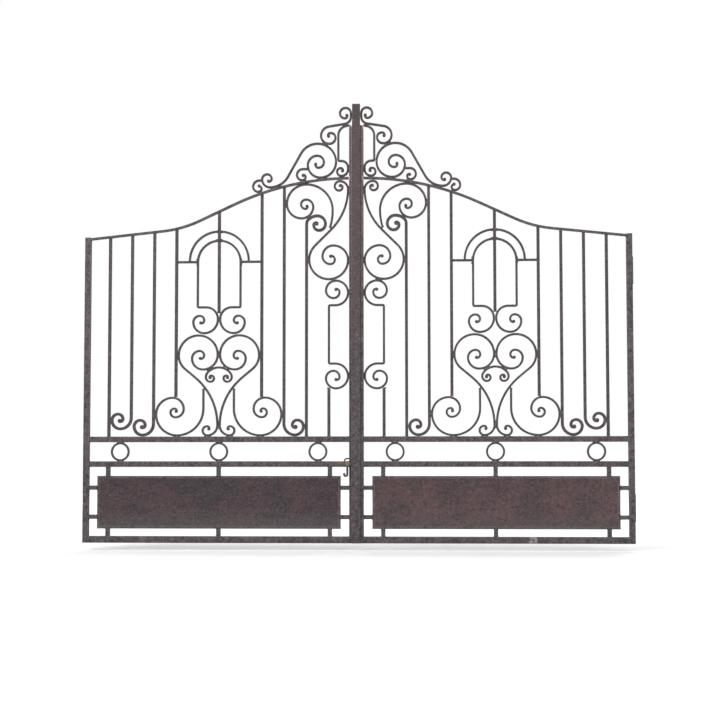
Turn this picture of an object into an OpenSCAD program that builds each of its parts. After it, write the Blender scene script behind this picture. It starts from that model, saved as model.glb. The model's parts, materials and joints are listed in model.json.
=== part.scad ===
// Pair of wrought iron driveway gates with scrollwork, hung on pintles.
// Units are millimetres. X runs across the gateway, Y towards the back, Z up.
// The origin is the middle of the bearing face of the lower left pintle plate.

/* [Leaf frame] */
// Width of one leaf's half of the gateway, outer stile face to centre
leaf_w = 1500; // [1400:5:1650]
// Side of the square hinge stile
stile_w = 32; // [28:1:36]
// Rise of the hinge stile above the top rail's middle line
stile_rise = 9; // [7:1:14]
// Distance from the gateway centre to the inner face of each meeting stile
meet_half = 39.5; // [37:0.5:44]
// Rise of the meeting stiles above the top rail's middle line
meet_rise = 291; // [270:1:310]
// Height of the bottom rail
bottom_rail_h = 36; // [32:1:40]
// Height of the lock and mid rails
rail_h = 31; // [27:1:34]
// Depth of the lock and mid rails
rail_d = 26; // [22:1:30]
// Clear height between the lock and mid rails
ring_clear = 104; // [94:1:118]

/* [Meeting edge] */
// Width of the cover strip over the meeting stiles
cover_w = 44; // [40:1:48]
// Thickness of the cover strip
cover_t = 10; // [8:1:12]
// Rise of the cover strip above the top rail's middle line
cover_rise = 408; // [390:1:430]
// Clear gap between the left stile and the cover strip
meet_gap = 7; // [6.5:0.1:8]

/* [Top rail] */
// Thickness of the swept top rail
top_rail_t = 12; // [10:1:14]
// Depth of the swept top rail
top_rail_d = 26; // [22:1:30]
// Height of the rail's middle line over the mid rail, at the hinge stile
side_rise = 1090.5; // [1000:0.5:1200]
// Rise of the rail's middle line from the hinge stile to the meeting stile
sweep_rise = 328; // [300:1:360]
// Slope of the lower straight
low_slope = 6; // [5:0.5:7]
// Slope of the steep straight
steep_slope = 25; // [24:0.5:26]
// Radius of the hollow bend
hollow_r = 640; // [560:10:700]
// Radius of the crown bend
crown_r = 1500; // [1400:10:1560]

/* [Bars] */
// Side of the square bars
bar_w = 16; // [14:1:17]
// Width of the bay between the two bars beside the arch
bay_w = 472; // [430:1:520]
// Distance from the meeting stile to the bracket bar
bracket_in = 111; // [106:1:118]

/* [Scrollwork] */
// Thickness of the scroll strip
strip_t = 12; // [10.5:0.5:12.5]
// Depth of the scroll strip
strip_d = 14; // [12:1:16]
// Drop of the outer hoop's crown below the top rail, middle line to middle line
hoop_drop = 111; // [95:1:130]
// Radius of the outer hoop's middle line
hoop_r = 163; // [150:1:175]
// Straight rise of the outer hoop above its springing
hoop_stilt = 6; // [5:0.5:12]
// Radius of the inner arch's middle line
arch_r = 118; // [108:1:128]
// Height of the widest point of the hearts over the mid rail
heart_rise = 445; // [420:1:470]
// Distance of the base scrolls' tails from the middle of the bay
base_tail_in = 84; // [76:1:96]
// Height of the foot of the bracket bar over the mid rail
bracket_rise = 397; // [375:1:420]

/* [Kick panel] */
// Height of the panel
panel_h = 286.5; // [250:0.5:320]
// Gap below the panel
panel_gap = 41; // [36:0.5:50]
// Gap above the panel
panel_over = 49; // [42:0.5:58]
// Gap from the panel's ends to the stiles
panel_end_gap = 46.5; // [38:0.5:56]
// Thickness of the panel at its border
panel_t = 12; // [10:1:14]
// Width of the panel's border
panel_border = 14; // [10:1:18]
// Depth of the panel's sunk face
panel_sink = 2.5; // [1.5:0.5:3]
// Side of the square stubs that hold the panel
stub_w = 23; // [19:1:25]
// Distance of the end stubs from the panel's ends
stub_in = 59; // [45:1:70]
// Distance of the side stubs from the panel's top and bottom
stub_edge = 64; // [50:1:75]

/* [Rings] */
// Thickness of the ring bar
ring_t = 11; // [9:0.5:12]
// Distance of the end rings' middles from the stiles
ring_in = 171; // [140:1:200]

/* [Hinges] */
// Gap between the leaf and the post's face
post_gap = 8; // [7:1:12]
// Height of the lower hinge above the leaf's bottom
lower_hinge_v = 190; // [170:1:220]
// Drop of the upper hinge below the hinge stile's top
upper_hinge_drop = 198; // [160:1:280]
// Diameter of the pintle pin
pin_d = 14; // [12:1:16]
// Running clearance round the pin
pin_fit = 0.1; // [0.06:0.01:0.1]
// Wall of the hinge eye
eye_wall = 5; // [4:0.5:6]
// Length of the hinge eye
eye_l = 40; // [34:1:42]
// Clear space between the stile's back and the eye
eye_stand = 4; // [3:0.5:8]
// Thickness of the pintle's arm
arm_t = 16; // [14:1:18]
// Thickness of the pintle's plate
plate_t = 6; // [5:0.5:6]
// Width of the pintle's plate
plate_w = 80; // [70:2:100]
// Height of the pintle's plate
plate_h = 150; // [140:2:180]
// Diameter of the plate's bolt holes
bolt_d = 12; // [10:0.5:14]
// Spacing of the bolt holes across the plate
bolt_across = 40; // [36:1:46]
// Spacing of the bolt holes up the plate
bolt_up = 120; // [116:1:128]

/* [Latch] */
// Diameter of the latch pin
latch_pin_d = 8; // [7:0.5:9]
// Running clearance round the latch pin
latch_fit = 0.1; // [0.06:0.01:0.1]
// Drop of the latch hook below its pin
hook_drop = 63.5; // [60:0.5:70]
// Reach of the hook's turned tip
hook_reach = 17; // [15:0.5:20]
// Rise of the hook's turned tip
hook_tip = 15.5; // [13:0.5:20]
// Thickness of the hook
hook_t = 11; // [10:0.5:11.5]
// Rise of the staple's loop over the lock rail
loop_rise = 14; // [12:1:18]
// Thickness of the staple's loop
loop_t = 8; // [7:0.5:9]

/* [Hidden] */
$fn = 48;
// Seat gap where scrolls lie against bars, rails and each other
seat = 0.3;
// Largest height of a bend's true curve over its chords
chord_h = 0.25;
// Largest turn between two points of a bend
bend_step = 15;
// Distance of the hinge eye's side from the hinge stile's outer face
eye_side = 0.5;
// Gap between the pintle's arm and the eye that rests over it, and the arm's wall round the pin
arm_gap = 0.3;
arm_wall = 3;
// Step of the eye's web from the eye's sides, and the pin's length over the eye
web_in = 4;
pin_end = 10;
// Reach of a cutting tool past the face it cuts
past = 1;

// Leaf layout: U runs from the hinge stile's outer face to the gateway centre, V up from the bottom
meet_u = leaf_w - meet_half;
left_meet_w = meet_half - cover_w / 2 - meet_gap;
right_meet_w = stile_w;
bracket_u = meet_u - bracket_in;
gaps_beside_bay = 7;
pitch = (bracket_u - stile_w / 2 - bay_w) / gaps_beside_bay;
bar_u = [for (i = [1 : 4]) stile_w / 2 + i * pitch];
far_u = [for (i = [3 : -1 : 1]) bracket_u - i * pitch];
bay_u = (bar_u[3] + far_u[0]) / 2;
panel_u0 = stile_w + panel_end_gap;
panel_u1 = meet_u - panel_end_gap;
panel_v0 = bottom_rail_h + panel_gap;
panel_v1 = panel_v0 + panel_h;
lock_rail_v = panel_v1 + panel_over + rail_h / 2;
mid_rail_v = lock_rail_v + rail_h + ring_clear;
mid_top = mid_rail_v + rail_h / 2;
shoulder_v = mid_top + side_rise;
crown_v = shoulder_v + sweep_rise;
stile_h = shoulder_v + stile_rise;
meet_h = crown_v + meet_rise;
cover_h = crown_v + cover_rise;
upper_hinge_v = stile_h - upper_hinge_drop;

// Paths: a pose is [point, heading], a bend is [radius, turn] and a straight is [length, 0]
function dir(a) = [cos(a), sin(a)];
function ahead(s, g) = g[1] == 0
    ? [s[0] + g[0] * dir(s[1]), s[1]]
    : [s[0] + sign(g[1]) * g[0] * (dir(s[1] + 90) - dir(s[1] + g[1] + 90)), s[1] + g[1]];
function part_way(s, g, f) = f == 0 ? s : ahead(s, g[1] == 0 ? [f * g[0], 0] : [g[0], f * g[1]]);
function turn_step(r) = min(bend_step, 2 * acos(1 - min(1, chord_h / r)));
function stops(g) = g[1] == 0 ? 1 : max(1, ceil(abs(g[1]) / turn_step(g[0])));
function trail(s, segs, i = 0) = i == len(segs)
    ? [s]
    : concat([for (j = [0 : stops(segs[i]) - 1]) part_way(s, segs[i], j / stops(segs[i]))],
        trail(ahead(s, segs[i]), segs, i + 1));
function both_ways(s, fore, aft) = let (b = trail([s[0], s[1] + 180], aft))
    concat([for (i = [len(b) - 1 : -1 : 1]) [b[i][0], b[i][1] + 180]], trail(s, fore));
function side_line(t, off) = [for (q = t) q[0] + off * dir(q[1] + 90)];
function flipped(l) = [for (i = [len(l) - 1 : -1 : 0]) l[i]];
function outline(t, w) = concat(side_line(t, w / 2), flipped(side_line(t, -w / 2)));
function coil(k, radii) = [for (r = radii) [r, 90 * k]];
// Turn and straight of an S that joins two parallel headings a shift apart, r being both radii's sum
function s_line(r, shift, run) = let (l = sqrt(pow(r - shift, 2) + run * run - r * r))
    [atan2(run, r - shift) - atan2(l, r), l];
// Largest sum of radii for such an S
function s_most(shift, run) = (shift * shift + run * run) / (2 * shift);
// Height at u of the circle of radius r round c, above or below c
function over(c, r, u) = c[1] + sqrt(r * r - pow(u - c[0], 2));
function under(c, r, u) = c[1] - sqrt(r * r - pow(u - c[0], 2));

module left() {
    translate([post_gap, -plate_back, -lower_hinge_v]) children();
}
module right() {
    translate([2 * (post_gap + leaf_w), 0, 0]) mirror([1, 0, 0]) left() children();
}
module upright(d) {
    rotate([90, 0, 0]) linear_extrude(height = d, center = true) children();
}
module bar(u0, u1, v0, v1, d) {
    translate([u0, -d / 2, v0]) cube([u1 - u0, d, v1 - v0]);
}
module post(u, w, v0, v1) {
    bar(u - w / 2, u + w / 2, v0, v1, w);
}
module strip(t, w = strip_t) {
    polygon(outline(t, w));
}
module both_sides() {
    children();
    translate([2 * bay_u, 0]) mirror([1, 0]) children();
}

// Top rail: low straight, hollow bend, steep straight, crown bend that ends level
rail_x = meet_u - stile_w - hollow_r * (sin(steep_slope) - sin(low_slope)) - crown_r * sin(steep_slope);
rail_z = sweep_rise - hollow_r * (cos(low_slope) - cos(steep_slope)) - crown_r * (1 - cos(steep_slope));
slope_gain = sin(steep_slope - low_slope);
low_l = (rail_x * sin(steep_slope) - rail_z * cos(steep_slope)) / slope_gain;
steep_l = (rail_z * cos(low_slope) - rail_x * sin(low_slope)) / slope_gain;
rail_trail = trail([[stile_w, shoulder_v], low_slope],
    [[low_l, 0], [hollow_r, steep_slope - low_slope], [steep_l, 0], [crown_r, -steep_slope]]);
crown_c = [meet_u, crown_v - crown_r];
// Radius round the crown bend's middle of the middle line of a strip on or under the rail
on_rail = crown_r + top_rail_t / 2 + strip_t / 2 + seat;
under_rail = crown_r - top_rail_t / 2 - strip_t / 2 - seat;
module below_rail() {
    polygon(concat([[0, 0], [0, shoulder_v - top_rail_t]], side_line(rail_trail, -top_rail_t / 2),
        [[leaf_w, crown_v - top_rail_t / 2], [leaf_w, 0]]));
}
module bar_to_rail(u, v0) {
    upright(bar_w) intersection() {
        translate([u - bar_w / 2, v0]) square([bar_w, crown_v]);
        below_rail();
    }
}

// Frame
module hinge_stile() {
    bar(0, stile_w, 0, stile_h, stile_w);
}
module meeting_stile(w) {
    bar(meet_u, meet_u + w, 0, meet_h, stile_w);
}
module bottom_rail() {
    bar(stile_w, meet_u, 0, bottom_rail_h, stile_w);
}
module cross_rail(v) {
    bar(stile_w, meet_u, v - rail_h / 2, v + rail_h / 2, rail_d);
}
module top_rail() {
    upright(top_rail_d) intersection() {
        strip(concat([[[0, shoulder_v - stile_w * tan(low_slope)], low_slope]], rail_trail,
            [[[leaf_w, crown_v], 0]]), top_rail_t);
        translate([stile_w, 0]) square([meet_u - stile_w, cover_h]);
    }
}
module kick_panel() {
    difference() {
        bar(panel_u0, panel_u1, panel_v0, panel_v1, panel_t);
        for (y = [-1, 1]) translate([0, y * (panel_t - panel_sink), 0])
            bar(panel_u0 + panel_border, panel_u1 - panel_border, panel_v0 + panel_border,
                panel_v1 - panel_border, panel_t);
    }
}
module panel_stubs() {
    for (u = [panel_u0 + stub_in, (panel_u0 + panel_u1) / 2, panel_u1 - stub_in]) {
        post(u, stub_w, bottom_rail_h, panel_v0);
        post(u, stub_w, panel_v1, lock_rail_v - rail_h / 2);
    }
    for (v = [panel_v0 + stub_edge, panel_v1 - stub_edge]) {
        bar(stile_w, panel_u0, v - stub_w / 2, v + stub_w / 2, stub_w);
        bar(panel_u1, meet_u, v - stub_w / 2, v + stub_w / 2, stub_w);
    }
}
module rings() {
    r = ring_clear / 2 - seat;
    for (u = [stile_w + ring_in, (stile_w + meet_u) / 2, meet_u - ring_in])
        translate([u, strip_d / 2, (mid_rail_v + lock_rail_v) / 2]) rotate([90, 0, 0])
            difference() {
                cylinder(h = strip_d, r = r);
                translate([0, 0, -past]) cylinder(h = strip_d + 2 * past, r = r - ring_t);
            }
}

// Base scrolls stand on the mid rail against the bars beside the bay's bars
base_r = pitch * [0.937, 0.737, 0.5, 0.37, 0.22, 0.17, 0.11];
base_left = bar_u[2] + bar_w / 2 + strip_t / 2 + seat;
base_foot = [base_left + base_r[0], mid_top + strip_t / 2 + seat];
base_top = base_foot[1] + base_r[0] + base_r[1];
base_tail_r = bay_u - base_tail_in - base_foot[0];

// Hearts, each half between a bay bar and the middle of the bay
heart_in = bay_u - strip_t / 2 - seat;
heart_out = bar_u[3] + bar_w / 2 + strip_t / 2 + seat;
heart_v = mid_top + heart_rise;
heart_r = (heart_in - heart_out) * [0.508, 0.492, 0.378, 0.28, 0.194, 0.115, 0.088];
heart_top_v = heart_v + heart_r[0];
toe_coil = [55, 26, 24, 13];
heart_low = mid_top + strip_t / 2 + seat + toe_coil[0];
heart_up_bend = 0.45 * (heart_in - heart_out);
heart_low_bend = 0.97 * s_most(heart_in - heart_out, heart_v - heart_low) - heart_up_bend;
heart_s = s_line(heart_up_bend + heart_low_bend, heart_in - heart_out, heart_v - heart_low);
// Straight end of the base scrolls, up to the hearts
base_tail_l = over([heart_in - heart_low_bend, heart_low], heart_low_bend - strip_t / 2 - 2 * seat,
    base_foot[0] + base_tail_r + strip_t / 2) - base_foot[1] - base_tail_r;
// Moustache hung under both halves of the heart
moustache_r = (heart_in - heart_out) * [0.38, 0.173];
moustache_turn = 50;
moustache_coil = (heart_in - heart_out) * [0.118, 0.091, 0.068, 0.045];
moustache_v = under([heart_in - heart_r[2], heart_top_v - heart_r[1]],
    heart_r[2] + moustache_r[0] + strip_t + seat, bay_u);

// Arch frame: its small scrolls sit on the hearts
small_coil = (heart_in - heart_out) * [0.35, 0.28, 0.165, 0.115, 0.08];
small_neck = 3;
knee_r = 64;
corner_r = 7;
knee_c = [heart_in - knee_r, heart_top_v + strip_t + seat + small_coil[0] + small_neck];
leg_foot_v = knee_c[1] + knee_r;
hoop_top_v = lookup(bay_u, [for (q = rail_trail) q[0]]) - hoop_drop;
spring_v = hoop_top_v - hoop_r - hoop_stilt;
shelf_u = bar_u[3] + bar_w / 2;
shelf_l = bay_u - arch_r - strip_t / 2 - seat - shelf_u;

// Long scroll beside the meeting stile, its sweep run set by its width
stile_in = meet_u - strip_t / 2 - seat;
long_out = far_u[2] + bar_w / 2 + strip_t / 2 + seat;
long_w = stile_in - long_out;
long_r = long_w * [0.509, 0.491, 0.379, 0.278, 0.203, 0.115, 0.1];
long_curl = [45, 28, 24, 19, 11];
long_drop = 4;
long_end_v = crown_v - crown_r + under_rail - long_drop - long_curl[0];
long_run = 1.817 * long_w;
long_v = long_end_v - long_run;
long_low_bend = long_r[0];
long_up_bend = 0.92 * s_most(long_w, long_run) - long_low_bend;
long_s = s_line(long_low_bend + long_up_bend, long_w, long_run);

// Bracket bar with a curl at each end
bracket_r = bracket_in * [0.62, 0.6, 0.49, 0.375, 0.295, 0.16];
bracket_curl_u = stile_in - bracket_r[1];
bracket_curl_v = under([long_out + long_r[0], long_v], long_r[0] + bracket_r[1] + strip_t + seat,
    bracket_curl_u);
bracket_top = bracket_curl_v - bracket_r[0];
bracket_low = mid_top + bracket_rise;
bracket_rest = under([bracket_curl_u, bracket_low - bracket_r[0] - bracket_r[1] + bracket_r[2]],
    bracket_r[2] + strip_t / 2 + seat, bracket_u + bar_w / 2);

// Shoulder scroll under the crown of the top rail
should_out = far_u[1] + bar_w / 2 + strip_t / 2 + seat;
should_r = pitch * [0.87, 1.18];
should_coil = pitch * [0.66, 0.52, 0.326, 0.223, 0.194, 0.1];
should_v = over(crown_c, under_rail - should_r[0], should_out + should_r[0]);
should_c = [should_out + should_coil[0], should_v - should_coil[0] + should_coil[1]];
should_lean = 14;
should_end = should_out + should_r[0] + should_r[1] - should_lean;
should_drop = should_v + should_r[0] - should_r[1] - strip_t / 4 - under([stile_in - long_up_bend,
    long_end_v], long_up_bend - strip_t / 2 - 2 * seat, should_end + strip_t / 2);
should_turn = 2 * atan(should_lean / should_drop);

// Bars with a scrolled foot, and one with a scrolled head that hangs under the shoulder scroll
foot_w = pitch - bar_w - seat;
foot_r = foot_w * [0.56, 0.44, 0.32, 0.25, 0.14];
foot_lift = 34;
head_r = pitch * [0.257, 0.57];
head_coil = pitch * [0.366, 0.29, 0.237, 0.107];
head_top = ahead(ahead([[far_u[2], 0], 90], [head_r[0], -45]), [head_r[1], -45])[0];
head_v = under(should_c, head_r[1] + should_coil[1] + bar_w / 2 + strip_t / 2 + seat, head_top[0])
    + head_r[1] - head_top[1];

// Straight bars, short shelves under the hoop and the pieces of the centre bar
module plain_bars() {
    bar_to_rail(bar_u[0], mid_top);
    for (u = [bar_u[3], far_u[0]]) bar_to_rail(u, base_top + strip_t / 2 + seat);
    for (u = [shelf_u, 2 * bay_u - shelf_u - shelf_l])
        bar(u, u + shelf_l, spring_v - strip_t / 2, spring_v + strip_t / 2, strip_d);
    bar_to_rail(bay_u, hoop_top_v + strip_t / 2 + seat);
    post(bay_u, bar_w, spring_v + arch_r + strip_t / 2 + seat, hoop_top_v - strip_t / 2 - 3 * seat);
    post(bay_u, bar_w, over(knee_c, knee_r + strip_t / 2, bay_u - bar_w / 2) + seat,
        spring_v + arch_r - strip_t / 2 - 3 * seat);
    post(bracket_u, bar_w, mid_top, bracket_rest);
}
module foot_bar(u, k, lift) {
    v0 = mid_top + bar_w / 2 + seat + lift + foot_r[0];
    bar_to_rail(u, v0);
    upright(bar_w) strip(trail([[u, v0 + past], -90], concat([[past, 0]], coil(k, foot_r))), bar_w);
}
module scroll_bars() {
    foot_bar(bar_u[1], -1, foot_lift);
    foot_bar(bar_u[2], -1, 0);
    foot_bar(far_u[1], 1, 0);
    upright(bar_w) strip(trail([[far_u[2], mid_top], 90], concat([[head_v - mid_top, 0]],
        [for (r = head_r) [r, -45]], coil(-1, head_coil))), bar_w);
}
module arch_hoop() {
    rise = hoop_stilt - strip_t / 2;
    upright(strip_d) strip(trail([[bay_u - hoop_r, spring_v + strip_t / 2], 90],
        [[rise, 0], [hoop_r, -180], [rise, 0]]));
}
function arch_half(k) = concat([[arch_r, 90 * k], [spring_v - leg_foot_v - corner_r, 0], [corner_r, 90 * k],
    [heart_in - bay_u + arch_r - corner_r - knee_r, 0], [knee_r, -90 * k], [small_neck, 0]],
    coil(-k, small_coil));
module arch_frame() {
    upright(strip_d) strip(both_ways([[bay_u, spring_v + arch_r], 180], arch_half(1), arch_half(-1)));
}
function moustache_half(k) = concat([[moustache_r[0], moustache_turn * k],
    [moustache_r[1], (90 - moustache_turn) * k]], coil(k, moustache_coil));
module heart_scrolls() {
    upright(strip_d) both_sides() strip(both_ways([[heart_out, heart_v], 90], coil(-1, heart_r),
        concat([[heart_up_bend, heart_s[0]], [heart_s[1], 0], [heart_low_bend, -heart_s[0]]],
            coil(-1, toe_coil))));
    upright(strip_d) strip(both_ways([[bay_u, moustache_v + moustache_r[0]], 180],
        moustache_half(1), moustache_half(-1)));
}
module base_scrolls() {
    upright(strip_d) both_sides() strip(both_ways([base_foot, 180], coil(-1, base_r),
        [[base_tail_r, 90], [base_tail_l, 0]]));
}
function bracket_half(k) = concat([[(bracket_top - bracket_low) / 2 - corner_r, 0], [corner_r, -90 * k],
    [stile_in - bracket_r[0] - bracket_u - corner_r, 0]], [[bracket_r[0], 90 * k]],
    coil(k, [for (i = [1 : len(bracket_r) - 1]) bracket_r[i]]));
module stile_scrolls() {
    upright(strip_d) {
        strip(both_ways([[long_out, long_v], 90],
            concat([[long_low_bend, -long_s[0]], [long_s[1], 0], [long_up_bend, long_s[0]]],
                coil(1, long_curl)), coil(1, long_r)));
        strip(both_ways([[bracket_u, (bracket_top + bracket_low) / 2], 90], bracket_half(1),
            bracket_half(-1)));
        strip(both_ways([[should_out, should_v], 90],
            concat(coil(-1, should_r), [[should_drop / sin(should_turn), -should_turn]]),
            coil(1, should_coil)));
    }
}

// Crest above the top rail: a big scroll whose tail runs down the rail
crest_in = 158;
crest_r = [103, 86, 70, 52, 37, 30, 18];
crest_u = meet_u - crest_in;
crest_v = over(crown_c, on_rail + crest_r[1], crest_u);
crest_c = [crest_u + crest_r[1] - crest_r[0], crest_v];
crest_side_v = crest_v - crest_r[1] + crest_r[2];
tail_in = 436;
tail_bend = [103, 112];
tail_coil = [45, 28, 25, 16];
tail_u = meet_u - tail_in;
tail_v = over(crown_c, on_rail + tail_bend[1], tail_u) - tail_bend[1];
tail_s = s_line(tail_bend[0] + tail_bend[1], crest_c[1] + crest_r[0] - tail_v, crest_c[0] - tail_u);
// Little curls that stand on the rail beside the big scroll and beyond the tail
curl_in = 258;
curl_r = [32, 30, 18, 12];
curl_u = meet_u - curl_in;
curl_v = over(crown_c, on_rail + curl_r[1], curl_u);
curl_end = crest_u - sqrt(pow(crest_r[2] + strip_t / 2 + seat, 2)
    - pow(curl_v + curl_r[0] + strip_t / 2 - crest_side_v, 2));
tip_in = 501.5;
tip_r = [34, 29, 18, 12];
tip_u = meet_u - tip_in;
tip_v = over(crown_c, on_rail + tip_r[1], tip_u);
tip_end = tail_u - sqrt(pow(tail_coil[0] + strip_t / 2 + seat, 2)
    - pow(tip_v + tip_r[0] - strip_t / 2 - tail_v - tail_coil[0], 2));
// Plume from the top of the big scroll to the side of the cover strip
plume_in = 104;
plume_coil = [51, 45, 33, 26, 14];
plume_curl = [29, 31, 27, 14];
plume_bend = 38;
plume_rise = 23;
plume_slope = 9;
// The left leaf's plume stops at its stile, clear of the cover strip that swings with the right leaf
plume_sides = [meet_u + left_meet_w - strip_t / 2, leaf_w - cover_w / 2 - strip_t / 2];
plume_step = (plume_coil[0] - plume_coil[1]) * dir(plume_slope);
plume_u = meet_u - plume_in;
plume_v = over(crest_c, crest_r[0] + plume_coil[1] + strip_t + seat, plume_u - plume_step[0]) + plume_step[1];
plume_top = [plume_u, plume_v] + plume_coil[0] * dir(plume_slope + 90);
function plume_l(side) =
    (side - plume_bend * (1 - sin(plume_slope)) - plume_top[0]) / cos(plume_slope);
function plume_c(side) = [side - plume_bend,
    plume_top[1] + plume_l(side) * sin(plume_slope) + plume_bend * cos(plume_slope)];
// Prop between the big scroll and the stile, with a small scroll on the rail
prop_u = crest_u + crest_r[1] + strip_t + 2 * seat;
prop_r = 36;
prop_coil = [prop_r, 24, 20, 13];
prop_step = 96;
prop_foot = crown_v - crown_r + on_rail;
prop_bend = meet_u - prop_u - strip_t / 2 - seat;
prop_turn = 90 - plume_slope;
function prop_top(side) = under(plume_c(side), plume_bend + strip_t + 5 * seat,
    prop_u + prop_bend * (1 - cos(prop_turn)));
function prop_l(side) = prop_top(side) - prop_bend * sin(prop_turn) - crown_v - prop_step - corner_r;
module crest_scrolls(side) {
    upright(strip_d) {
        strip(both_ways([crest_c + [0, crest_r[0]], 0], coil(-1, crest_r),
            concat([[tail_bend[0], tail_s[0]], [tail_s[1], 0], [tail_bend[1], -tail_s[0]]],
                coil(-1, tail_coil))));
        strip(trail([[curl_end, curl_v + curl_r[0]], 180],
            concat([[curl_end - curl_u + curl_r[1] - curl_r[0], 0]], coil(1, curl_r))));
        strip(trail([[tip_end, tip_v + tip_r[0]], 180],
            concat([[tip_end - tip_u + tip_r[1] - tip_r[0], 0]], coil(1, tip_r))));
        strip(both_ways([[side, plume_c(side)[1] + plume_rise], 90], coil(1, plume_curl),
            concat([[plume_rise, 0], [plume_bend, plume_slope - 90], [plume_l(side), 0]],
                coil(1, plume_coil))));
        strip(both_ways([[prop_u, crown_v + prop_step + corner_r], -90],
            concat([[corner_r, 90], [stile_in - prop_r - prop_u - corner_r, 0], [prop_r, -90],
                [crown_v + prop_step - prop_foot - 2 * prop_r, 0]], coil(-1, prop_coil)),
            [[prop_l(side), 0], [prop_bend, -prop_turn]]));
    }
}

// Hinges
eye_r = pin_d / 2 + pin_fit + eye_wall;
axis_back = stile_w / 2 + eye_stand + eye_r;
axis_u = eye_r + eye_side;
plate_back = axis_back - pin_d / 2 - arm_wall + plate_w / 2;
module hinge_eyes() {
    for (v = [lower_hinge_v, upper_hinge_v])
        translate([axis_u, axis_back, v + arm_t / 2 + arm_gap]) difference() {
            union() {
                cylinder(h = eye_l, r = eye_r);
                translate([web_in - eye_r, stile_w / 2 - axis_back, 0])
                    cube([2 * (eye_r - web_in), axis_back - stile_w / 2, eye_l]);
            }
            translate([0, 0, -past]) cylinder(h = eye_l + 2 * past, r = pin_d / 2 + pin_fit);
        }
}
module pintle(v) {
    translate([-post_gap, 0, v]) {
        difference() {
            translate([0, plate_back - plate_w / 2, -plate_h / 2]) cube([plate_t, plate_w, plate_h]);
            for (y = [-1, 1], z = [-1, 1])
                translate([-past, plate_back + y * bolt_across / 2, z * bolt_up / 2]) rotate([0, 90, 0])
                    cylinder(h = plate_t + 2 * past, d = bolt_d);
        }
        translate([plate_t, axis_back - pin_d / 2 - arm_wall, -arm_t / 2])
            cube([post_gap + axis_u - plate_t, pin_d + 2 * arm_wall, arm_t]);
        translate([post_gap + axis_u, axis_back, -arm_t / 2]) {
            cylinder(h = arm_t, r = pin_d / 2 + arm_wall);
            cylinder(h = arm_t + arm_gap + eye_l + pin_end, d = pin_d);
        }
    }
}

// Meeting edge and latch
module meeting_cover() {
    translate([leaf_w - cover_w / 2, -stile_w / 2 - cover_t, 0]) cube([cover_w, cover_t, cover_h]);
}
barrel_w = 22;
lug_w = 7;
lug_gap = 0.4;
lug_wall = 7;
lug_inset = 1;
lug_r = latch_pin_d / 2 + latch_fit + lug_wall;
latch_u = meet_u + left_meet_w - lug_inset - lug_w - lug_gap - barrel_w / 2;
latch_out = stile_w / 2 + lug_r + 2;
loop_in = 25;
loop_bend = 10;
hook_bend = 6;
pin_head = 3;
module latch_lug(u, back) {
    difference() {
        translate([u, -latch_out, lock_rail_v]) rotate([0, 90, 0]) union() {
            cylinder(h = lug_w, r = lug_r);
            translate([-lug_r, 0, 0]) cube([2 * lug_r, latch_out - back, lug_w]);
        }
        translate([u - past, -latch_out, lock_rail_v]) rotate([0, 90, 0])
            cylinder(h = lug_w + 2 * past, r = latch_pin_d / 2 + latch_fit);
    }
}
module latch_staple() {
    latch_lug(latch_u - barrel_w / 2 - lug_gap - lug_w, rail_d / 2);
    latch_lug(latch_u + barrel_w / 2 + lug_gap, stile_w / 2);
    upright(loop_t) strip(trail([[meet_u - loop_in, lock_rail_v + rail_h / 2], 90],
        [[loop_rise - loop_bend, 0], [loop_bend, -90], [loop_in - loop_bend, 0]]), loop_t);
}
module latch_hook() {
    span = barrel_w / 2 + lug_gap + lug_w;
    translate([latch_u, -latch_out, lock_rail_v]) {
        translate([-span - pin_head, 0, 0]) rotate([0, 90, 0])
            cylinder(h = 2 * span + pin_head, d = latch_pin_d);
        translate([-barrel_w / 2, 0, 0]) rotate([0, 90, 0]) cylinder(h = barrel_w, r = lug_r);
        upright(hook_t) strip(trail([[0, 0], -90], [[hook_drop - hook_bend, 0], [hook_bend, -90],
            [hook_reach - 2 * hook_bend, 0], [hook_bend, -90], [hook_tip - hook_bend, 0]]), hook_t);
    }
}

iron = [0.34, 0.29, 0.29];
color(iron) left() hinge_stile();  // left_hinge_stile
color(iron) left() meeting_stile(left_meet_w);  // left_meeting_stile
color(iron) left() bottom_rail();  // left_bottom_rail
color(iron) left() cross_rail(lock_rail_v);  // left_lock_rail
color(iron) left() cross_rail(mid_rail_v);  // left_mid_rail
color(iron) left() top_rail();  // left_top_rail
color(iron) left() kick_panel();  // left_kick_panel
color(iron) left() panel_stubs();  // left_panel_stubs
color(iron) left() rings();  // left_rings
color(iron) left() plain_bars();  // left_plain_bars
color(iron) left() scroll_bars();  // left_scroll_bars
color(iron) left() arch_hoop();  // left_arch_hoop
color(iron) left() arch_frame();  // left_arch_frame
color(iron) left() heart_scrolls();  // left_heart_scrolls
color(iron) left() base_scrolls();  // left_base_scrolls
color(iron) left() stile_scrolls();  // left_stile_scrolls
color(iron) left() crest_scrolls(plume_sides[0]);  // left_crest_scrolls
color(iron) left() hinge_eyes();  // left_hinge_eyes
color(iron) right() hinge_stile();  // right_hinge_stile
color(iron) right() meeting_stile(right_meet_w);  // right_meeting_stile
color(iron) right() bottom_rail();  // right_bottom_rail
color(iron) right() cross_rail(lock_rail_v);  // right_lock_rail
color(iron) right() cross_rail(mid_rail_v);  // right_mid_rail
color(iron) right() top_rail();  // right_top_rail
color(iron) right() kick_panel();  // right_kick_panel
color(iron) right() panel_stubs();  // right_panel_stubs
color(iron) right() rings();  // right_rings
color(iron) right() plain_bars();  // right_plain_bars
color(iron) right() scroll_bars();  // right_scroll_bars
color(iron) right() arch_hoop();  // right_arch_hoop
color(iron) right() arch_frame();  // right_arch_frame
color(iron) right() heart_scrolls();  // right_heart_scrolls
color(iron) right() base_scrolls();  // right_base_scrolls
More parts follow.
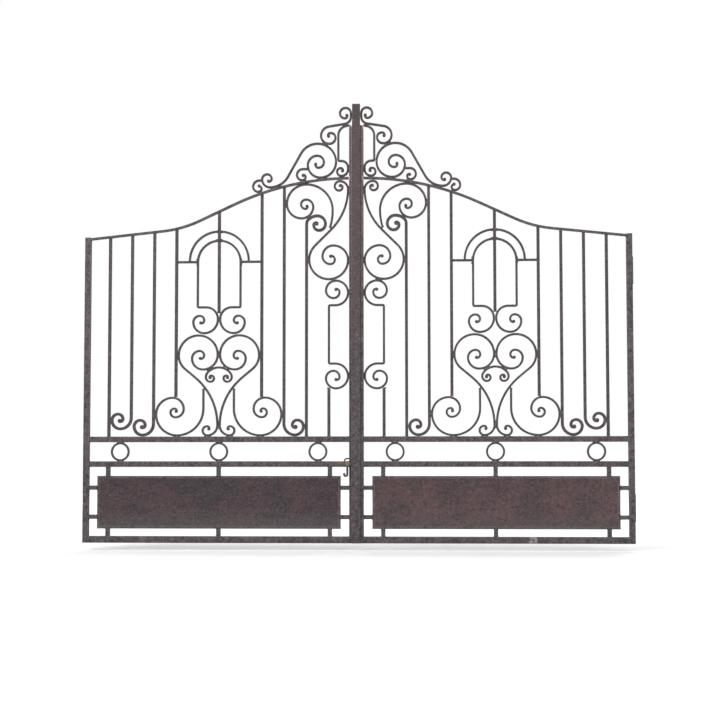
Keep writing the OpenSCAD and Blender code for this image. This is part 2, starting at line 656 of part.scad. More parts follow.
color(iron) right() stile_scrolls();  // right_stile_scrolls
color(iron) right() crest_scrolls(plume_sides[1]);  // right_crest_scrolls
color(iron) right() hinge_eyes();  // right_hinge_eyes
color(iron) right() meeting_cover();
color(iron) left() latch_staple();
color(iron) left() latch_hook();
color(iron) left() pintle(lower_hinge_v);  // left_lower_pintle
color(iron) left() pintle(upper_hinge_v);  // left_upper_pintle
color(iron) right() pintle(lower_hinge_v);  // right_lower_pintle
color(iron) right() pintle(upper_hinge_v);  // right_upper_pintle
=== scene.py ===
"""Looks of a pair of rusty wrought iron driveway gates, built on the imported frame, in metres."""

import json
import math
import random

import bmesh
import bpy
from mathutils import Matrix, Vector, noise
from mathutils.bvhtree import BVHTree


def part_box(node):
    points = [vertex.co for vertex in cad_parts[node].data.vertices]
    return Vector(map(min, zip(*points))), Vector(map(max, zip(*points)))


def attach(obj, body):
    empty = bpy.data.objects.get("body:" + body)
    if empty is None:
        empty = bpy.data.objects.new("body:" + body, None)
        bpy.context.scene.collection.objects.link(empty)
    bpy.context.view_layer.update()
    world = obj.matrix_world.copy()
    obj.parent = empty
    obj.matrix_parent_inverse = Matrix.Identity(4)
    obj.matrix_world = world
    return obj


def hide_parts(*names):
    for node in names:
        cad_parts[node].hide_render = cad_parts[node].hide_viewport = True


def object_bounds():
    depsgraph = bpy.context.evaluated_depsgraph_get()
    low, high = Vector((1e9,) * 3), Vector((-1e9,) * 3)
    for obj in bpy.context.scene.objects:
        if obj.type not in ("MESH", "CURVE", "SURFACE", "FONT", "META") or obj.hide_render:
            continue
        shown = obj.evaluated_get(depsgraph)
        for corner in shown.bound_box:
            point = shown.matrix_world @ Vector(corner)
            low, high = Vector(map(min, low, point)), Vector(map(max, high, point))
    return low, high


MM = 0.001
random.seed(7)

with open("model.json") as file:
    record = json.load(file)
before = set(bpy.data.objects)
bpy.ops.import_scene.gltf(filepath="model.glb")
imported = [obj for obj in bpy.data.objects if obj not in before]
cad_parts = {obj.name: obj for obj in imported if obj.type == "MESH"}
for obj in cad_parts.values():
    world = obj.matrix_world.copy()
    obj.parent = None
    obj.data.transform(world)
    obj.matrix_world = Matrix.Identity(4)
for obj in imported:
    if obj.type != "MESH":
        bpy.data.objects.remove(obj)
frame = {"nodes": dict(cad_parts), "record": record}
cad_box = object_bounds()
nodes = frame["nodes"]
bodies = frame["record"]["behaviour"]["bodies"]
slot_of = {row["node"]: row["material_slot"] for row in frame["record"]["subparts"]}
body_of = {n: body for body, members in bodies.items() for n in members}

# Sizes of the hand work, in metres
EDGE_ROUND = 1.6 * MM        # rounding of bar and rail edges
STRIP_ROUND = 1.2 * MM       # rounding of scroll edges
SMALL_ROUND = 0.6 * MM       # rounding of hinge, latch and meeting edges
TOUCH = 0.9 * MM             # pieces nearer than this are welded together
NUB_SHARE = 0.74             # radius of a scroll's snub end, as a share of the strip's thickness
BEAD_R = 2.6 * MM            # radius of the weld bead round a bar's end
FILLET_R = 4.2 * MM          # half width of the weld in the corner beside a touching scroll
FILLET_OUT = 15 * MM         # distance of that weld from the point of contact
PANEL_LIP = 0.5 * MM         # faces this near the panel's outer planes belong to its border
END_REACH = 0.92             # a strip's end this near another piece, in thicknesses, is welded to it
TONGUE_MOST = 45 * MM        # a strip's end this near the meeting stile is carried on to it
BAR_REACH = 4 * MM           # a bar's end this near another piece is welded to it
SHOULDER = 14 * MM           # height of the cover strip's shoulder below its narrow end
COVER_SLIT = 1.95 * MM       # slit that keeps the cover strip off the left leaf as the leaves open
PLUME_FROM = -5 * MM         # height over the stile's top where the left plume starts to be drawn over
PLUME_TO = 30 * MM           # and where it is drawn over in full
CONTACT_SPAN = 40 * MM       # points of contact within this span are one contact
CURL_SPAN = 4.5              # length at a strip's end that shows which way it curls, in thicknesses
END_AREA = (40 * MM * MM, 1100 * MM * MM)   # least and most area of a bar's or strip's end face
GROUND_WELD = (4 * MM, 2.5 * MM)            # half width and half depth of a pale ground weld
PLATE_T = 6 * MM             # thickness of the bolted plates
WASHER_T = 1.8 * MM          # thickness of a bolt's washer
BOLT_TOP = 8.4 * MM          # height of a bolt's head over the plate
STRIPS = ("rings", "arch_hoop", "arch_frame", "scrolls")


# Materials
def srgb(r, g, b):
    """Linear colour of an 8-bit screen colour."""
    return tuple((c / 12.92 if c <= 0.04045 else ((c + 0.055) / 1.055) ** 2.4)
                 for c in (r / 255, g / 255, b / 255)) + (1.0,)


class Shader:
    """A node tree with short calls for the nodes that the iron uses."""

    def __init__(self, name):
        self.mat = bpy.data.materials.new(name)
        self.mat.use_nodes = True
        self.tree = self.mat.node_tree
        self.out = self.tree.nodes["Principled BSDF"]
        self.place = self.node("ShaderNodeTexCoord").outputs["Object"]

    def node(self, kind, **settings):
        made = self.tree.nodes.new(kind)
        for key, value in settings.items():
            setattr(made, key, value)
        return made

    def link(self, a, b):
        self.tree.links.new(a, b)

    def stretched(self, scale):
        made = self.node("ShaderNodeMapping")
        made.inputs["Scale"].default_value = scale
        self.link(self.place, made.inputs["Vector"])
        return made.outputs["Vector"]

    def along(self, axis):
        made = self.node("ShaderNodeSeparateXYZ")
        self.link(self.place, made.inputs["Vector"])
        return made.outputs[axis]

    def mark(self, name):
        return self.node("ShaderNodeAttribute", attribute_name=name).outputs["Fac"]

    def noise(self, scale, detail=5.0, rough=0.6, vector=None):
        made = self.node("ShaderNodeTexNoise")
        made.inputs["Scale"].default_value = scale
        made.inputs["Detail"].default_value = detail
        made.inputs["Roughness"].default_value = rough
        self.link(vector or self.place, made.inputs["Vector"])
        return made.outputs["Fac"]

    def cells(self, scale):
        made = self.node("ShaderNodeTexVoronoi")
        made.inputs["Scale"].default_value = scale
        self.link(self.place, made.inputs["Vector"])
        return made.outputs["Distance"]

    def ramp(self, value, low, high):
        made = self.node("ShaderNodeMapRange", interpolation_type="SMOOTHSTEP")
        made.inputs["From Min"].default_value = low
        made.inputs["From Max"].default_value = high
        self.link(value, made.inputs["Value"])
        return made.outputs["Result"]

    def math(self, op, a, b):
        made = self.node("ShaderNodeMath", operation=op, use_clamp=True)
        for socket, value in zip(made.inputs, (a, b)):
            if isinstance(value, (int, float)):
                socket.default_value = value
            else:
                self.link(value, socket)
        return made.outputs["Value"]

    def mix(self, share, a, b):
        made = self.node("ShaderNodeMix", data_type="RGBA")
        self.link(share, made.inputs["Factor"])
        for socket, value in ((made.inputs[6], a), (made.inputs[7], b)):
            if isinstance(value, tuple):
                socket.default_value = value
            else:
                self.link(value, socket)
        return made.outputs[2]


DOWNWARD = (38.0, 38.0, 3.0)  # stretch of dark runs that hang down
SIDEWAYS = (9.0, 38.0, 38.0)  # stretch of dark streaks along the panels


def iron(name, scale, rust, worn, dark, mid, red, pale, tints=(), scuff=None, flow=DOWNWARD):
    """Rusted iron: dark scale, mottled brown, redder rust, rubbed pale patches and edges, pits.

    A tint is an axis, the places where it starts and is full, its share and its tone.
    A scuff is the place along X and the half length of a patch scraped pale.
    The flow is the stretch of the dark runs, least along the way that they run.
    """
    s = Shader(name)
    broad = s.noise(7.0, 4.0, 0.55)
    mottle = s.noise(46.0, 7.0, 0.68)
    speckle = s.noise(95.0, 6.0, 0.7)
    grain = s.noise(330.0, 4.0, 0.6)
    runs = s.noise(1.0, 5.0, 0.6, s.stretched(flow))
    pits = s.cells(120.0)

    blotch = s.math("ADD", s.math("MULTIPLY", mottle, 0.55), s.math("MULTIPLY", speckle, 0.45))
    colour = s.mix(s.ramp(blotch, 0.37, 0.61), dark, mid)
    reds = s.math("MULTIPLY", s.ramp(broad, 0.62 - rust, 0.82 - rust), s.ramp(blotch, 0.36, 0.6))
    colour = s.mix(reds, colour, red)
    for axis, start, full, share, tone in tints:
        amount = s.math("MULTIPLY", s.ramp(s.along(axis), start, full), share)
        colour = s.mix(s.math("MULTIPLY", amount, s.ramp(blotch, 0.24, 0.56)), colour, tone)
    colour = s.mix(s.math("MULTIPLY", s.mark("rim"), s.ramp(blotch, 0.3, 0.7)), colour, RIM)
    colour = s.mix(s.math("MULTIPLY", s.ramp(runs, 0.5, 0.72), 0.45), colour, dark)
    rubbed = s.math("MULTIPLY", s.ramp(s.noise(19.0, 8.0, 0.72), 0.70 - worn, 0.84 - worn),
                    s.ramp(grain, 0.35, 0.6))
    colour = s.mix(s.math("MULTIPLY", rubbed, 0.8), colour, pale)
    if scuff:
        (middle, half), place = scuff, s.along(X)
        begins = s.ramp(place, middle - half, middle - 0.4 * half)
        ends = s.ramp(place, middle + half, middle + 0.4 * half)
        scraped = s.math("MULTIPLY", s.math("MULTIPLY", begins, ends), s.ramp(blotch, 0.4, 0.56))
        colour = s.mix(s.math("MULTIPLY", scraped, 0.6), colour, SCRAPED)
    chipped = s.math("MULTIPLY", s.mark("edge"), s.ramp(s.noise(85.0, 5.0, 0.7), 0.42, 0.62))
    colour = s.mix(s.math("MULTIPLY", chipped, 0.7), colour, pale)
    colour = s.mix(s.math("MULTIPLY", s.ramp(speckle, 0.57, 0.68), 0.4), colour, pale)
    colour = s.mix(s.math("MULTIPLY", s.ramp(grain, 0.64, 0.72), 0.5), colour, pale)
    hollow = s.ramp(pits, 0.28, 0.05)
    colour = s.mix(s.math("MULTIPLY", hollow, 0.55), colour, dark)
    s.link(colour, s.out.inputs["Base Color"])

    rough = s.node("ShaderNodeMapRange")
    rough.inputs["To Min"].default_value = 0.62
    rough.inputs["To Max"].default_value = 0.95
    s.link(mottle, rough.inputs["Value"])
    s.link(rough.outputs["Result"], s.out.inputs["Roughness"])
    s.out.inputs["Metallic"].default_value = 0.12
    s.out.inputs["Specular IOR Level"].default_value = 0.35

    height = s.math("ADD", s.math("MULTIPLY", mottle, 0.5), s.math("MULTIPLY", grain, 0.35))
    height = s.math("SUBTRACT", height, s.math("MULTIPLY", hollow, 0.35))
    bump = s.node("ShaderNodeBump")
    bump.inputs["Strength"].default_value = 0.75
    bump.inputs["Distance"].default_value = scale
    s.link(height, bump.inputs["Height"])
    s.link(bump.outputs["Normal"], s.out.inputs["Normal"])
    return s.mat


X, Z = 0, 2
DARK = srgb(43, 38, 40)
PALE = srgb(130, 124, 124)
RIM = srgb(84, 80, 80)
SCRAPED = srgb(158, 151, 151)


def frame_iron(name, *tints, scuff=None):
    return iron(name, 1.6 * MM, 0.03, 0.05, DARK, srgb(86, 79, 81), srgb(98, 76, 74), PALE,
                tints, scuff)


def panel_iron(node, dark, mid, red, grey):
    low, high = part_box(node)
    foot = (Z, low.z + 0.45 * (high.z - low.z), low.z, grey, srgb(72, 70, 69))
    return iron(node + "_iron", 1.8 * MM, 0.24, 0.02, dark, mid, red, srgb(112, 102, 104), (foot,),
                flow=SIDEWAYS)


def latch_iron(name, *tints):
    return iron(name, 1.0 * MM, 0.02, 0.12, srgb(52, 46, 42), srgb(84, 75, 66), srgb(100, 76, 60),
                srgb(140, 131, 115), tints)


leaf_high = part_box("left_meeting_stile")[1]
lock_low, lock_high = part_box("left_lock_rail")
foot_low, foot_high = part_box("right_bottom_rail")
scuff_x = foot_low.x + 0.64 * (foot_high.x - foot_low.x)
IRON = {
    "frame_iron": frame_iron("frame_iron"),
    "bar_iron": iron("bar_iron", 1.2 * MM, 0.0, 0.03, srgb(46, 42, 43), srgb(74, 68, 70),
                     srgb(90, 70, 67), srgb(118, 111, 111)),
    "hinge_iron": iron("hinge_iron", 1.2 * MM, 0.04, 0.0, srgb(38, 34, 33), srgb(70, 60, 56),
                       srgb(98, 66, 52), srgb(120, 112, 106)),
    "latch_iron": latch_iron("latch_iron"),
}
STILE_IRON = frame_iron("stile_iron", (Z, 0.3 * leaf_high.z, leaf_high.z, 0.9, srgb(96, 81, 80)))
NODE_IRON = {
    "meeting_cover": frame_iron(
        "cover_iron", (Z, 0.0, 0.8 * leaf_high.z, 0.9, srgb(72, 58, 60)),
        (Z, leaf_high.z, leaf_high.z + 40 * MM, 0.8, srgb(56, 49, 49))),
    "left_meeting_stile": STILE_IRON,
    "right_meeting_stile": STILE_IRON,
    "left_lock_rail": frame_iron(
        "lock_rail_iron", (X, lock_high.x - 110 * MM, lock_high.x - 30 * MM, 0.7, srgb(104, 99, 80))),
    "right_bottom_rail": frame_iron("bottom_rail_iron", scuff=(scuff_x, 30 * MM)),
    "left_kick_panel": panel_iron(
        "left_kick_panel", srgb(38, 33, 36), srgb(62, 52, 56), srgb(70, 53, 56), 0.6),
    "right_kick_panel": panel_iron(
        "right_kick_panel", srgb(46, 38, 40), srgb(76, 62, 65), srgb(84, 63, 64), 0.35),
    "latch_hook": latch_iron(
        "hook_iron", (Z, lock_low.z + 4 * MM, lock_low.z - 4 * MM, 0.9, srgb(52, 45, 43)),
        (Z, lock_low.z - 4 * MM, lock_low.z + 6 * MM, 0.75, srgb(118, 102, 90))),
}
WELD = iron("weld_iron", 1.0 * MM, 0.0, 0.16, srgb(62, 55, 54), srgb(92, 82, 80),
            srgb(106, 78, 68), srgb(164, 156, 152))
BRIGHT_WELD = iron("bright_weld_iron", 1.0 * MM, 0.0, 0.2, srgb(112, 104, 102), srgb(168, 160, 156),
                   srgb(150, 132, 124), srgb(206, 200, 196))


# Mesh helpers
def cleaned(node):
    """The node's solid with its flat faces joined up again."""
    bm = bmesh.new()
    bm.from_mesh(nodes[node].data)
    bmesh.ops.remove_doubles(bm, verts=bm.verts, dist=0.01 * MM)
    bmesh.ops.dissolve_limit(bm, angle_limit=math.radians(0.6), verts=bm.verts, edges=bm.edges)
    if node == "left_crest_scrolls":
        drawn_plume(bm)
    return bm


def drawn_plume(bm):
    """Draws the left plume's upright end over, to within a slit of the cover strip's narrow end."""
    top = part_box("left_meeting_stile")[1].z
    start, full = top + PLUME_FROM, top + PLUME_TO
    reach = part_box("meeting_cover")[0].x - max(v.co.x for v in bm.verts) - COVER_SLIT
    for v in bm.verts:
        share = min(max((v.co.z - start) / (full - start), 0.0), 1.0)
        v.co.x += reach * share * share * (3 - 2 * share)


def sharp(edge, limit=math.radians(35)):
    return len(edge.link_faces) == 2 and edge.calc_face_angle(0.0) > limit


def finished(bm, name, body, material, smooth=math.radians(40)):
    """A piece made from the mesh, with smooth bends and crisp corners."""
    for edge in bm.edges:
        edge.smooth = not sharp(edge, smooth)
    for face in bm.faces:
        face.smooth = True
    mesh = bpy.data.meshes.new(name)
    bm.to_mesh(mesh)
    bm.free()
    obj = bpy.data.objects.new(name, mesh)
    bpy.context.scene.collection.objects.link(obj)
    mesh.materials.append(material)
    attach(obj, body)
    return obj


def rounded(bm, width, segments=2):
    """Rounds the sharp edges, and marks the rounded faces so that they show wear."""
    made = bmesh.ops.bevel(bm, geom=[e for e in bm.edges if sharp(e)], offset=width,
                           segments=segments, profile=0.5, affect="EDGES", clamp_overlap=True)
    mark = bm.loops.layers.float.new("edge")
    for face in made["faces"]:
        for loop in face.loops:
            loop[mark] = 1.0


def rim_marked(bm, border):
    """Marks the faces of the panel's raised border."""
    mark = bm.loops.layers.float.new("rim")
    front = min(v.co.y for v in bm.verts)
    back = max(v.co.y for v in bm.verts)
    for face in bm.faces:
        if all(min(v.co.y - front, back - v.co.y) < border for v in face.verts):
            for loop in face.loops:
                loop[mark] = 1.0


def islands(bm):
    """The mesh's separate solids, each as a list of faces."""
    seen, found = set(), []
    for start in bm.faces:
        if start in seen:
            continue
        seen.add(start)
        group = [start]
        for face in group:
            for edge in face.edges:
                for other in edge.link_faces:
                    if other not in seen:
                        seen.add(other)
                        group.append(other)
        found.append(group)
    return found


def lump(bm, place, size, rough=0.22):
    """A weld's lump: a ball stretched to size in the frame of place, with an uneven skin."""
    ball = bmesh.ops.create_icosphere(bm, subdivisions=2, radius=1.0)
    for v in ball["verts"]:
        wave = 1 + rough * noise.noise(place.translation * 90 + v.co * 1.7)
        v.co = place @ Vector(v.co[i] * size[i] * wave for i in range(3))


def bead(bm, ring, radius):
    """A weld bead round a closed ring of points, as a lumpy tube."""
    sides, step = 6, 2.2 * MM
    points = []
    for i, a in enumerate(ring):
        b = ring[(i + 1) % len(ring)]
        count = max(2, round((b - a).length / step))
        points += [a.lerp(b, k / count) for k in range(count)]
    normal = (ring[1] - ring[0]).cross(ring[2] - ring[1]).normalized()
    centre = sum(ring, Vector()) / len(ring)
    rows = []
    for p in points:
        out = p - centre
        out = (out - normal * out.dot(normal)).normalized()
        r = radius * (0.85 + 0.4 * noise.noise(p * 260))
        rows.append([bm.verts.new(p + r * (math.cos(math.tau * k / sides) * out
                                           + math.sin(math.tau * k / sides) * normal))
                     for k in range(sides)])
    for i, row in enumerate(rows):
        after = rows[(i + 1) % len(rows)]
        for k in range(sides):
            bm.faces.new((row[k], row[(k + 1) % sides], after[(k + 1) % sides], after[k]))


def nub(bm, end, out, inward, thick, depth):
    """The snub end of a scroll: the strip's end upset into a small round knob."""
    radius, half = NUB_SHARE * thick, depth / 2 + 0.5 * MM
    centre = end + out * radius * 0.2 + inward * (radius - thick / 2)
    turns, profile = 16, ((0.0, 1.0), (0.72, 1.0), (0.93, 0.9), (1.0, 0.72))
    rings = [(share * radius, level * half) for share, level in profile]
    rings += [(r, -y) for r, y in reversed(rings)]
    rows = []
    for r, y in rings[1:-1]:
        rows.append([bm.verts.new(centre + Vector((r * math.cos(math.tau * k / turns), y,
                                                   r * math.sin(math.tau * k / turns))))
                     for k in range(turns)])
    for row, after in zip(rows, rows[1:]):
        for k in range(turns):
            bm.faces.new((row[k], row[(k + 1) % turns], after[(k + 1) % turns], after[k]))
    bm.faces.new(rows[0][::-1])
    bm.faces.new(rows[-1])


def tongue(bm, ring, out, length):
    """A short length of strip that carries an end on to the piece it is welded to."""
    start = [bm.verts.new(p - out * MM) for p in ring]
    stop = [bm.verts.new(p + out * length) for p in ring]
    long_edges = []
    for k in range(4):
        bm.faces.new((start[k], start[k - 1], stop[k - 1], stop[k]))
        long_edges.append(bm.edges.get((start[k], stop[k])))
    bm.faces.new(start)
    bm.faces.new(stop[::-1])
    bmesh.ops.bevel(bm, geom=long_edges, offset=STRIP_ROUND, segments=2, profile=0.5, affect="EDGES")


# Forged pieces
def edge_round(node):
    if body_of[node] in ("pintles", "latch"):
        return SMALL_ROUND
    if node.endswith(("eyes", "staple", "cover", "meeting_stile")):
        return SMALL_ROUND
    return STRIP_ROUND if node.endswith(STRIPS) else EDGE_ROUND


def widened_cover(bm):
    """Draws the cover strip's left edge, up to the stile's top, to within a slit of that stile."""
    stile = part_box("left_meeting_stile")[1]
    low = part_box("meeting_cover")[0].x
    for level in (stile.z - SHOULDER, stile.z):
        bmesh.ops.bisect_plane(bm, geom=bm.verts[:] + bm.edges[:] + bm.faces[:],
                               plane_co=(0, 0, level), plane_no=(0, 0, 1))
    for v in bm.verts:
        if v.co.x < low + MM and v.co.z < stile.z - 0.5 * SHOULDER:
            v.co.x = stile.x + COVER_SLIT


for node in sorted(nodes):
    shape = cleaned(node)
    if node == "meeting_cover":
        widened_cover(shape)
    if node.endswith("kick_panel"):
        rim_marked(shape, PANEL_LIP)
    rounded(shape, edge_round(node))
    material = NODE_IRON.get(node) or IRON[slot_of[node]]
    piece = finished(shape, node + "_forged", body_of[node], material)
    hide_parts(node)


# Welds and scroll ends
def is_end(face):
    """Whether the face is the small square end of a bar or strip."""
    return (len(face.verts) == 4 and END_AREA[0] < face.calc_area() < END_AREA[1]
            and abs(face.normal.y) < 0.1 and all(sharp(e, math.radians(50)) for e in face.edges))


class Solid:
    """One separate solid of a leaf, with its small end faces."""

    def __init__(self, node, faces):
        self.node = node
        self.strip = node.endswith(STRIPS)
        verts = list(dict.fromkeys(v for f in faces for v in f.verts))
        at = {v: i for i, v in enumerate(verts)}
        self.points = [v.co.copy() for v in verts]
        self.tree = BVHTree.FromPolygons(self.points, [[at[v] for v in f.verts] for f in faces])
        self.low = Vector(min(p[i] for p in self.points) for i in range(3))
        self.high = Vector(max(p[i] for p in self.points) for i in range(3))
        self.ends = [([v.co.copy() for v in f.verts], f.normal.copy(), f.calc_center_median())
                     for f in faces if is_end(f)]

    def near(self, point, reach):
        if any(point[i] < self.low[i] - reach or point[i] > self.high[i] + reach for i in range(3)):
            return None
        return self.tree.find_nearest(point, reach)[0]


def leaf_solids(body):
    found = []
    for node in bodies[body]:
        if node.startswith("latch") or node.endswith(("eyes", "cover")):
            continue
        bm = cleaned(node)
        found += [Solid(node, group) for group in islands(bm)]
        bm.free()
    return found


def touched(solid, others, point, reach):
    """The nearest point of another solid within reach, or None."""
    spots = [o.near(point, reach) for o in others if o is not solid]
    return min((s for s in spots if s is not None), key=lambda s: (s - point).length, default=None)


def clusters(points, reach):
    """The points gathered into groups that lie within reach of each other."""
    groups = []
    for p in points:
        for g in groups:
            if (p - sum(g, Vector()) / len(g)).length < reach:
                g.append(p)
                break
        else:
            groups.append([p])
    return [sum(g, Vector()) / len(g) for g in groups]


def bright_welds(body):
    """Pale, ground welds at the meeting stile's top and where the top rail runs into it."""
    side = body.split("_")[0]
    low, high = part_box(side + "_meeting_stile")
    rail_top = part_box(side + "_top_rail")[1].z
    face = high.x if side == "right" else low.x
    inner = 1 if side == "left" else -1
    shape = bmesh.new()
    for z, half in ((high.z - 9 * MM, 11 * MM), (rail_top - 10 * MM, 12 * MM)):
        for step in (-0.45, 0.5):
            spot = Vector((face + inner * random.uniform(1, 3) * MM, low.y, z + step * half))
            lump(shape, Matrix.Translation(spot), (*GROUND_WELD, half * random.uniform(0.6, 0.8)))
    finished(shape, body + "_bright_welds", body, BRIGHT_WELD, math.radians(80))


def curl_side(solid, centre, out, thick):
    """The direction, across the strip's end, of the inside of its curl."""
    around = [p for p in solid.points if (p - centre).length < CURL_SPAN * thick]
    inward = sum(around, Vector()) / len(around) - centre
    inward -= out * inward.dot(out)
    inward.y = 0.0
    return inward.normalized()


def dress_ends(solid, solids, stile_side, nubs, welds):
    """A bead, a tongue or a snub knob on each end of a bar or strip."""
    depth = solid.high.y - solid.low.y
    for ring, out, centre in solid.ends:
        thick = min((ring[1] - ring[0]).length, (ring[2] - ring[1]).length)
        reach = END_REACH * min(thick, depth) if solid.strip else BAR_REACH
        there = touched(solid, solids, centre, reach)
        across = (stile_side - centre.x) / out.x if abs(out.x) > 0.5 else 0.0
        on_crest = solid.node.endswith("crest_scrolls")
        if on_crest and 0 < across < TONGUE_MOST and there is not None:
            tongue(nubs, ring, out, across + MM)
        elif there is not None:
            bead(welds, ring, BEAD_R)
            gap = (there - centre).length
            if solid.strip and gap > TOUCH:
                size = 0.5 * gap + BEAD_R
                lump(welds, Matrix.Translation((there + centre) / 2), (size, 0.45 * depth, size))
        elif solid.strip or "scroll" in solid.node:
            inward = curl_side(solid, centre, out, thick)
            nub(nubs, centre, out, inward, min(thick, depth), depth)


def dress_contacts(solid, other, mid_y, welds):
    """Two fillets beside each place where a strip touches another solid."""
    depth = solid.high.y - solid.low.y
    close = [p for p in solid.points if other.near(p, TOUCH)]
    for contact in clusters(close, CONTACT_SPAN):
        contact.y = mid_y
        there = other.near(contact, CONTACT_SPAN)
        if there is None:
            continue
        across = there - contact
        across.y = 0.0
        if across.length < 0.01 * MM:
            continue
        across.normalize()
        along = Vector((-across.z, 0.0, across.x))
        for way in (-1, 1):
            spot = contact + along * way * FILLET_OUT * random.uniform(0.75, 1.0)
            turn = Matrix((along, Vector((0, 1, 0)), across)).transposed().to_4x4()
            lump(welds, Matrix.Translation(spot) @ turn,
                 (FILLET_R * 1.7, depth * 0.5, FILLET_R * random.uniform(0.75, 1.0)))


def dress_leaf(body):
    """Snub scroll ends, beads round the bars' ends and fillets where scrolls touch."""
    side = body.split("_")[0]
    solids = leaf_solids(body)
    nubs, welds = bmesh.new(), bmesh.new()
    rail_low, rail_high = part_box(side + "_bottom_rail")
    mid_y = (rail_low.y + rail_high.y) / 2
    stile_low, stile_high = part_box(side + "_meeting_stile")
    stile_side = stile_low.x if side == "left" else stile_high.x
    for i, solid in enumerate(solids):
        dress_ends(solid, solids, stile_side, nubs, welds)
        if not solid.strip:
            continue
        for j, other in enumerate(solids):
            if j != i and not (other.strip and j < i):
                dress_contacts(solid, other, mid_y, welds)
    finished(nubs, body + "_scroll_ends", body, IRON["bar_iron"])
    finished(welds, body + "_welds", body, WELD, math.radians(80))
    bright_welds(body)


dress_leaf("left_leaf")
dress_leaf("right_leaf")


# Bolts of the pintle plates
def hexagon_bolt(bm, place, hole_r):
    """Bolt head with a washer, standing on the plate along +Z of place."""
    washer, head = 1.9 * hole_r, 1.55 * hole_r
    for count, radius, low, high, chamfer in ((32, washer, 0.0, WASHER_T, 0.3 * MM),
                                              (6, head, WASHER_T, BOLT_TOP, 1.0 * MM)):
        rows = []
        for r, z in ((radius, low), (radius, high - chamfer), (radius - chamfer, high)):
            rows.append([bm.verts.new(place @ Vector((r * math.cos(math.tau * k / count),
                                                      r * math.sin(math.tau * k / count), z)))
                         for k in range(count)])
        for row, after in zip(rows, rows[1:]):
            for k in range(count):
                bm.faces.new((row[k], row[(k + 1) % count], after[(k + 1) % count], after[k]))
        bm.faces.new(rows[0][::-1])
        bm.faces.new(rows[-1])


bolts = bmesh.new()
for mount in frame["record"]["mounts"]:
    if mount["kind"] != "bolt_pattern":
        continue
    out = -Vector(mount["axis"])
    half_y, half_z = (mount["dims"][k] / 2 * MM for k in ("spacing_x_mm", "spacing_y_mm"))
    for y in (-half_y, half_y):
        for z in (-half_z, half_z):
            spot = Vector(mount["pos_m"]) + Vector((0, y, z)) + out * PLATE_T
            turn = out.to_track_quat("Z", "Y").to_matrix().to_4x4()
            twist = Matrix.Rotation(random.uniform(0, math.tau), 4, "Z")
            hexagon_bolt(bolts, Matrix.Translation(spot) @ turn @ twist, mount["dims"]["hole_r_mm"] * MM)
finished(bolts, "pintle_bolts", "pintles", IRON["hinge_iron"])


# Stage, light and camera
FLOOR_DROP = 40 * MM         # the leaves hang this far above the floor
LIGHT_LEVEL = 0.62           # strength of the even light from all round
FLOOR_HALF = 60.0            # half the side of the floor
FLOOR_GLOW = 0.5             # lift of the far floor as the camera sees it, so that it is white
GLOW_REACH = (2.5, 8.0)      # distances from the gate at which that lift starts and is full
CAMERA_OUT = 7.896           # distance of the camera in front of the leaves
CAMERA_SIDE = 0.407          # and to the right of the gateway's middle
CAMERA_UP = 0.530            # and above the leaves' bottom
CAMERA_TURN = (93.364, 0.05, 2.813)   # turn of the camera about X, Y and Z, in degrees
CAMERA_LENS = 72.53          # focal length in mm, on a sensor 36 mm wide
LAMPS = {                    # place from the gate's middle, with its height in the frame, sides and power
    "key": ((-3.5, -5.0, 5.0), (4.0, 3.0), 420),
    "fill": ((4.5, -5.0, 2.5), (3.0, 3.0), 160),
    "back": ((2.0, 5.0, 4.5), (4.0, 3.0), 260),
}


def seen_white(tree, plain_strength):
    """A factor that is 1 for camera, glossy and transmitted rays, and the plain strength elsewhere."""
    path = tree.nodes.new("ShaderNodeLightPath")
    most = None
    for name in ("Is Camera Ray", "Is Glossy Ray", "Is Transmission Ray"):
        if most is None:
            most = path.outputs[name]
            continue
        join = tree.nodes.new("ShaderNodeMath")
        join.operation = "MAXIMUM"
        tree.links.new(most, join.inputs[0])
        tree.links.new(path.outputs[name], join.inputs[1])
        most = join.outputs["Value"]
    spread = tree.nodes.new("ShaderNodeMapRange")
    spread.inputs["To Min"].default_value = plain_strength
    spread.inputs["To Max"].default_value = 1.0
    tree.links.new(most, spread.inputs["Value"])
    return spread.outputs["Result"]


world = bpy.data.worlds.new("studio")
bpy.context.scene.world = world
world.use_nodes = True
sky = world.node_tree.nodes["Background"]
sky.inputs["Color"].default_value = (1, 1, 1, 1)
world.node_tree.links.new(seen_white(world.node_tree, LIGHT_LEVEL), sky.inputs["Strength"])

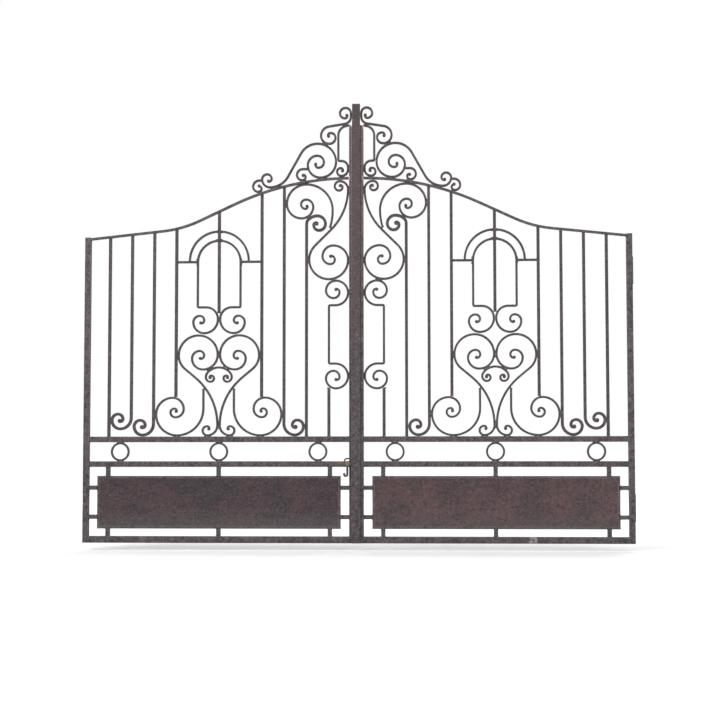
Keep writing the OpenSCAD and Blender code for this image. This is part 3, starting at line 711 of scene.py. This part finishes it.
low, high = cad_box
centre = (low + high) / 2
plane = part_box("left_bottom_rail")
plane_y = (plane[0].y + plane[1].y) / 2
floor_mesh = bpy.data.meshes.new("floor")
corners = ((-1, -1), (1, -1), (1, 1), (-1, 1))
floor_mesh.from_pydata([(x * FLOOR_HALF, y * FLOOR_HALF, 0) for x, y in corners], [], [(0, 1, 2, 3)])
floor = bpy.data.objects.new("floor", floor_mesh)
floor.location = (centre.x, plane_y, low.z - FLOOR_DROP)
bpy.context.scene.collection.objects.link(floor)
pale = Shader("pale_floor")
pale.out.inputs["Base Color"].default_value = (0.86, 0.86, 0.86, 1)
pale.out.inputs["Roughness"].default_value = 1.0
pale.out.inputs["Specular IOR Level"].default_value = 0.0
pale.out.inputs["Emission Color"].default_value = (1, 1, 1, 1)
away = pale.node("ShaderNodeVectorMath", operation="LENGTH")
pale.link(pale.place, away.inputs[0])
seen = pale.node("ShaderNodeLightPath").outputs["Is Camera Ray"]
glow = pale.math("MULTIPLY", pale.ramp(away.outputs["Value"], *GLOW_REACH), FLOOR_GLOW)
pale.link(pale.math("MULTIPLY", seen, glow), pale.out.inputs["Emission Strength"])
floor_mesh.materials.append(pale.mat)


def soft_box(name, place, aim, size, power):
    data = bpy.data.lights.new(name, "AREA")
    data.shape = "RECTANGLE"
    data.size, data.size_y = size
    data.energy = power
    lamp = bpy.data.objects.new(name, data)
    lamp.location = place
    lamp.rotation_mode = "QUATERNION"
    lamp.rotation_quaternion = (aim - Vector(place)).to_track_quat("-Z", "Y")
    bpy.context.scene.collection.objects.link(lamp)


for lamp_name, ((x, y, z), sides, power) in LAMPS.items():
    soft_box(lamp_name, (centre.x + x, centre.y + y, z), centre, sides, power)

camera = bpy.data.objects.new("camera", bpy.data.cameras.new("camera"))
camera.location = (centre.x + CAMERA_SIDE, plane_y - CAMERA_OUT, low.z + CAMERA_UP)
camera.rotation_euler = tuple(math.radians(a) for a in CAMERA_TURN)
camera.data.sensor_width = 36
camera.data.lens = CAMERA_LENS
camera.data.clip_end = 400
bpy.context.scene.collection.objects.link(camera)
bpy.context.scene.camera = camera
bpy.context.scene.view_settings.view_transform = "Standard"

bpy.context.view_layer.update()
